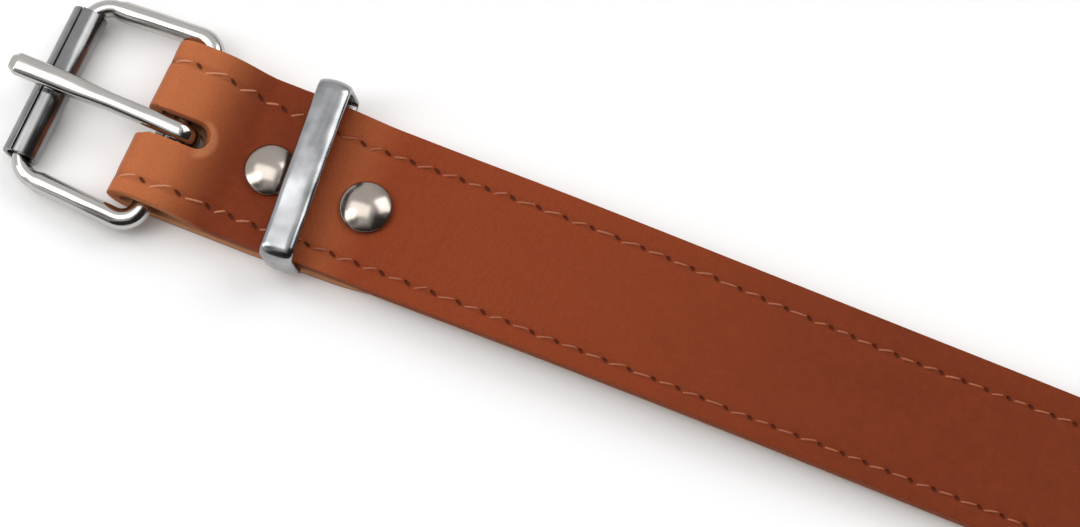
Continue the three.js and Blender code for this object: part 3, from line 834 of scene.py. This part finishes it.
from_fold = sheet.math("ABSOLUTE", sheet.math("SUBTRACT", along, fold_middle + 2.0))
# Paler where the fold stretches the leather; the same mask also paints light onto the dyed edge
# there.
stretch_and_edge_light = sheet.between(from_fold, 19.0, 5.0)
mottle = sheet.noise(laid, 0.11, 3.0, 0.55)
cloud = sheet.noise(laid, 0.55, 4.0, 0.6)
body = sheet.mix(mottle, tone(100, 37, 17), tone(116, 45, 22))
body = sheet.mix(sheet.between(cloud, 0.3, 0.75, 0.0, 0.45), body, tone(126, 52, 25))
# Painted light: from the keeper on, the leather is painted paler, which lifts the keeper's cast
# shadow; the lift fades out past the rivets.
paler_and_shadow_lift = sheet.math("MULTIPLY", sheet.between(along, FOLD_END + 30, FOLD_END + 42),
                     sheet.between(along, FOLD_END + 150, FOLD_END + 60))
body = sheet.mix(sheet.math("MULTIPLY", paler_and_shadow_lift, 0.5), body, tone(150, 66, 34))
# Paler where the keeper rubs the leather, and painted light that lifts the keeper's cast shadow up
# to the second rivet.
rubbed_and_shadow_lift = sheet.math("MULTIPLY", sheet.between(along, FOLD_END + 28, FOLD_END + 32),
                    sheet.between(along, FOLD_END + 43, FOLD_END + 35))
body = sheet.mix(sheet.math("MULTIPLY", rubbed_and_shadow_lift, 0.42), body, tone(186, 102, 62))
body = sheet.mix(sheet.math("MULTIPLY", stretch_and_edge_light, 0.85), body, tone(184, 106, 65))

from_end = sheet.math("SUBTRACT", along, slot_high - SLOT_HALF)
beside_end = sheet.math("SUBTRACT", across, BUCKLE_SHIFT - 0.4)
around_end = sheet.math("SQRT", sheet.math("ADD", sheet.math("POWER", from_end, 2.0),
                                           sheet.math("POWER", beside_end, 2.0)))
rim = sheet.math("MULTIPLY", sheet.between(around_end, 4.4, 3.3),
                 sheet.between(from_end, -0.2, 1.8))
body = sheet.mix(sheet.math("MULTIPLY", rim, 0.5), body, tone(206, 134, 92))

pebble = sheet.node("TexVoronoi", feature="DISTANCE_TO_EDGE")
sheet.link(laid, pebble.inputs["Vector"])
pebble.inputs["Scale"].default_value = 2.1
grain = sheet.between(pebble.outputs["Distance"], 0.0, 0.25)
fine = sheet.noise(laid, 3.4, 4.0, 0.6)
valleys = sheet.math("SUBTRACT", 1.0, grain)
body = sheet.mix(sheet.math("MULTIPLY", valleys, 0.16), body, tone(80, 30, 15))

whole = sheet.math("ROUND", sewn.outputs[0])
step = sheet.math("MULTIPLY", sheet.math("SUBTRACT", sewn.outputs[0], whole), sewn.outputs[2])
off = sewn.outputs[1]
turned = math.radians(-26)
shorter = sheet.between(along, FOLD_END + 45, FOLD_END + 95, 0.95, 0.66)
slit_a = sheet.math("ADD", sheet.math("MULTIPLY", step, math.cos(turned)),
                    sheet.math("MULTIPLY", off, math.sin(turned)))
slit_b = sheet.math("SUBTRACT", sheet.math("MULTIPLY", off, math.cos(turned)),
                    sheet.math("MULTIPLY", step, math.sin(turned)))
LAST_STITCH = lay_of(505.5)
near_row = sheet.math("MULTIPLY", sheet.between(sheet.math("ABSOLUTE", across), 5.0, 6.0),
                      sheet.math("MULTIPLY", sheet.between(along, 3.5, 4.0),
                                 sheet.between(along, LAST_STITCH + 0.5, LAST_STITCH)))
radius = sheet.math("SQRT", sheet.math("ADD",
                    sheet.math("POWER", sheet.math("DIVIDE", slit_a, shorter), 2.0),
                    sheet.math("POWER", sheet.math("DIVIDE", slit_b, 0.36), 2.0)))
slit = sheet.math("MULTIPLY", near_row, sheet.between(radius, 1.05, 0.4))
dimple = sheet.math("MULTIPLY", near_row, sheet.between(radius, 3.2, 0.6))
channel = sheet.math("MULTIPLY", near_row, sheet.between(sheet.math("ABSOLUTE", off), 1.0, 0.2))
body = sheet.mix(sheet.math("MULTIPLY", channel, 0.25), body, tone(92, 36, 18))

flesh = sheet.between(deep, -0.7, -1.15)
edge = sheet.math("MULTIPLY", sheet.between(deep, -1.2, -0.6), sheet.between(deep, 1.15, 0.75))
fibre = sheet.noise(sheet.scaled(laid, (0.35, 1.6, 3.0)), 1.6, 5.0, 0.7)
hair = sheet.noise(sheet.scaled(laid, (1.0, 2.2, 1.0)), 1.1, 6.0, 0.75)
raw_edge = sheet.mix(fibre, tone(176, 112, 72), tone(205, 150, 108))
dyed_edge = sheet.mix(fibre, tone(104, 44, 22), tone(146, 76, 42))
# Painted light: near the fold the dyed edge is painted lighter, to lift the shade it lies in as it
# faces down, away from the lights.
dyed_edge = sheet.mix(sheet.math("MULTIPLY", stretch_and_edge_light, 0.8), dyed_edge, tone(200, 122, 74))
turned_back = sheet.between(along, TURN_BACK - 3.0, TURN_BACK - 8.0)
edge_tone = sheet.mix(turned_back, dyed_edge, raw_edge)
flesh_tone = sheet.mix(hair, tone(158, 104, 70), tone(190, 138, 98))
skin = sheet.mix(edge, body, edge_tone)
skin = sheet.mix(flesh, skin, flesh_tone)
# Painted shade: each needle slit is painted dark, standing in for the shade inside the cut.
skin = sheet.mix(sheet.math("MULTIPLY", slit, 0.9), skin, tone(62, 22, 11))
sheet.link(skin, sheet.shader.inputs["Base Color"])
gloss = sheet.between(cloud, 0.2, 0.8, 0.40, 0.52)
gloss = sheet.math("ADD", gloss, sheet.math("MULTIPLY", sheet.math("MAXIMUM", flesh, edge), 0.3))
sheet.link(gloss, sheet.shader.inputs["Roughness"])
sheet.shader.inputs["Specular IOR Level"].default_value = 0.2
sheet.shader.inputs["Specular Tint"].default_value = (1.0, 0.58, 0.36, 1)

creased = sheet.math("MULTIPLY", sheet.between(along, FOLD_END + 22, FOLD_END + 34),
                     sheet.between(along, FOLD_END + 120, FOLD_END + 60))
crease = sheet.noise(sheet.scaled(laid, (1.5, 0.55, 1.0)), 0.8, 4.0, 0.6)
crease = sheet.math("MULTIPLY", crease, sheet.math("MULTIPLY", creased, 4.0))
relief = sheet.math("ADD", sheet.math("MULTIPLY", grain, 0.35),
                    sheet.math("MULTIPLY", fine, 0.65))
normal_one = sheet.bump(sheet.math("ADD", relief, crease), 0.5, 0.00016)
holes = sheet.math("ADD", sheet.math("MULTIPLY", slit, -0.75),
                   sheet.math("MULTIPLY", dimple, -0.25))
normal_two = sheet.bump(holes, 0.9, 0.00045, normal_one)
rough_side = sheet.math("MULTIPLY", sheet.math("MAXIMUM", flesh, edge), fibre)
sheet.link(sheet.bump(rough_side, 0.5, 0.0003, normal_two), sheet.shader.inputs["Normal"])
strap.data.materials.clear()
strap.data.materials.append(sheet.material)
print("leather ready with", len(sheet.tree.nodes), "nodes")

# %% [markdown]
# ## Thread finish
# The thread is waxed and only a little paler than the leather, so it shows as short dashes, and
# it is painted paler near the fold. A slanted wave gives the twist of its plies. Twisted plies
# could be modelled, but at half a millimetre across a pattern does the same.

# %% Thread
sheet = Sheet("waxed_thread")
place = sheet.node("TexCoord").outputs["Object"]
twist = sheet.node("TexWave", wave_type="BANDS", bands_direction="DIAGONAL")
sheet.link(place, twist.inputs["Vector"])
twist.inputs["Scale"].default_value = 900.0
twist.inputs["Distortion"].default_value = 0.6
shade = sheet.noise(place, 300.0, 2.0)
colour = sheet.mix(shade, tone(136, 67, 38), tone(172, 97, 62))
colour = sheet.mix(sheet.math("MULTIPLY", twist.outputs["Fac"], 0.25), colour, tone(120, 58, 32))
split = sheet.node("SeparateXYZ")
sheet.link(place, split.inputs[0])
# The thread is painted paler near the fold.
paler_near_fold = sheet.between(split.outputs[0], -0.210, -0.240)
colour = sheet.mix(sheet.math("MULTIPLY", paler_near_fold, 0.5), colour, tone(216, 148, 104))
sheet.link(colour, sheet.shader.inputs["Base Color"])
sheet.shader.inputs["Roughness"].default_value = 0.5
sheet.link(sheet.bump(twist.outputs["Fac"], 0.4, 0.0001), sheet.shader.inputs["Normal"])
stitching.data.materials.append(sheet.material)
print("thread ready")

# %% [markdown]
# ## Metal finishes
# The hardware is nickel-plated steel: bright, slightly warm, with faint polishing marks and a
# little unevenness that softens the reflections. The roller's sheet metal is darker and brushed
# along its length, so its marks are long thin streaks. The keeper's bar was drawn through a die,
# which leaves faint marks along the loop. Its colour is painted darker and blotchy, a painted
# reflection that stands in for the dark streaks of the room on the bar. The rivet caps have a warm
# satin sheen. All four come from one function, which reads Object coordinates.

# %% Nickel, brushed sheet, satin caps and the drawn bar
def metal(name, dark, light, rough, streaks, depth, waves=0.5):
    sheet = Sheet(name)
    place = sheet.node("TexCoord").outputs["Object"]
    marks = sheet.noise(sheet.scaled(place, streaks), 1.0, 5.0, 0.65)
    patch = sheet.noise(place, 160.0, 2.0)
    sheet.link(sheet.mix(patch, dark, light), sheet.shader.inputs["Base Color"])
    worn = sheet.math("ADD", sheet.between(marks, 0.25, 0.75, rough[0], rough[1]),
                      sheet.math("MULTIPLY", patch, 0.04))
    sheet.link(worn, sheet.shader.inputs["Roughness"])
    sheet.shader.inputs["Metallic"].default_value = 1.0
    wavy = sheet.bump(sheet.noise(place, 95.0, 1.0), waves, 0.0008)
    sheet.link(sheet.bump(marks, depth, 0.00005, wavy), sheet.shader.inputs["Normal"])
    print(name, "ready")
    return sheet.material


nickel = metal("bright_nickel", tone(176, 173, 170), tone(198, 195, 191), (0.10, 0.18),
               (420, 420, 420), 0.10)
brushed = metal("brushed_sheet", tone(100, 100, 101), tone(152, 152, 152), (0.14, 0.28),
                (2600, 30, 2600), 0.22)
satin = metal("satin_cap", tone(150, 141, 132), tone(176, 168, 160), (0.14, 0.22),
              (900, 900, 900), 0.12, 0.15)
# Painted reflection: the keeper's colour is darker and blotchy, standing in for the dark streaks
# that the room reflects in the bar.
keeper_shaded_nickel = metal("drawn_nickel_shaded", tone(96, 98, 100), tone(196, 196, 198), (0.12, 0.26),
              (900, 40, 900), 0.14, 0.6)
for piece in bpy.data.objects:
    if piece.name in ("frame_wire", "prong_wire"):
        piece.data.materials.append(nickel)
    elif piece.name == "keeper_loop":
        piece.data.materials.append(keeper_shaded_nickel)
    elif piece.name in ("rivet_1_turned", "rivet_2_turned"):
        piece.data.materials.append(satin)
tube.data.materials.append(brushed)
finishes = {"roller": brushed, "keeper": keeper_shaded_nickel, "rivet_1": satin, "rivet_2": satin}
for name, node in frame["nodes"].items():
    node.data.materials.clear()
    node.data.materials.append(finishes.get(name, nickel))
frame["nodes"]["strap"].data.materials[0] = strap.data.materials[0]

# %% [markdown]
# ## Floor, light and camera
# The collar lies on a plain white table under soft studio light from three softboxes: one at the
# left, one overhead and a large one at the right. The world is a room that is bright at the upper
# left and has three dark patches, which draw the dark lines that make polished metal read as
# metal. An even white world would turn the hardware into plain grey. The camera stands almost
# overhead, turned 22 degrees, with a long lens. The lights stand by the picture's own directions.

# %% Floor
bpy.ops.object.select_all(action="DESELECT")
bpy.ops.mesh.primitive_plane_add(size=4, location=(0, 0, -0.06 * MM))
floor = bpy.context.object
floor.name = "floor"
sheet = Sheet("pale_floor")
sheet.shader.inputs["Base Color"].default_value = (0.9, 0.9, 0.9, 1)
sheet.shader.inputs["Roughness"].default_value = 0.9
sheet.shader.inputs["Specular IOR Level"].default_value = 0.1
floor.data.materials.append(sheet.material)

# %% Camera
AIM = Vector((-0.17073, 0.00238, 0.003))
AZIMUTH, ELEVATION, DISTANCE = math.radians(22.25), math.radians(72), 0.9
away = Vector((math.sin(AZIMUTH) * math.cos(ELEVATION), -math.cos(AZIMUTH) * math.cos(ELEVATION),
               math.sin(ELEVATION)))
right = Vector((math.cos(AZIMUTH), math.sin(AZIMUTH), 0))
upward = away.cross(right)
lens = bpy.data.cameras.new("camera")
lens.lens = 167.8
lens.sensor_width = 36
camera = bpy.data.objects.new("camera", lens)
bpy.context.scene.collection.objects.link(camera)
camera.location = AIM + away * DISTANCE
camera.rotation_mode = "QUATERNION"
camera.rotation_quaternion = (-away).to_track_quat("-Z", "Y")
bpy.context.scene.camera = camera
print("camera at", [round(v, 3) for v in camera.location])

# %% Lights
def softbox(name, sideways, above, nearer, size, power):
    """A softbox placed by the picture's own directions, aimed at the collar."""
    data = bpy.data.lights.new(name, "AREA")
    data.shape = "RECTANGLE"
    data.size, data.size_y = size
    data.energy = power
    lamp = bpy.data.objects.new(name, data)
    bpy.context.scene.collection.objects.link(lamp)
    place = right * sideways + upward * above + away * nearer
    lamp.location = AIM + place
    lamp.rotation_mode = "QUATERNION"
    lamp.rotation_quaternion = (-place).to_track_quat("-Z", "Y")
    return lamp


softbox("left_box", -1.0, 0.15, 0.8, (0.45, 1.0), 5)
softbox("over_box", -0.42, 0.5, 1.1, (0.75, 1.3), 5.5)
softbox("right_box", 0.95, 0.8, 0.8, (0.9, 0.9), 7.5)
world = bpy.data.worlds.new("studio")
bpy.context.scene.world = world
sky = Sheet("studio", world)
direction = sky.node("TexCoord").outputs["Generated"]


def towards(sideways, above, out):
    """How squarely a ray looks in a direction of the picture, from -1 to 1."""
    facing = sky.node("VectorMath", operation="DOT_PRODUCT")
    sky.link(direction, facing.inputs[0])
    facing.inputs[1].default_value = (right * sideways + upward * above + away * out).normalized()
    return facing.outputs["Value"]


room = sky.mix(sky.between(towards(-0.45, 0.55, 0.55), -0.25, 0.7), (0.16, 0.15, 0.145, 1),
               (1.0, 1.0, 1.0, 1))
shade = [sky.between(towards(0.8, -0.3, 0.55), 0.58, 0.82),
         sky.between(towards(-0.1, -0.8, 0.6), 0.72, 0.90),
         sky.math("MULTIPLY", sky.between(towards(-0.62, -0.05, 0.8), 0.93, 0.985), 0.8)]
dark = sky.math("MAXIMUM", sky.math("MAXIMUM", shade[0], shade[1]), shade[2])
room = sky.mix(dark, room, (0.035, 0.03, 0.027, 1))
sky.link(room, sky.tree.nodes["Background"].inputs["Color"])
sky.tree.nodes["Background"].inputs["Strength"].default_value = 0.85
bpy.context.scene.view_settings.view_transform = "Standard"
print("three softboxes and a studio world")
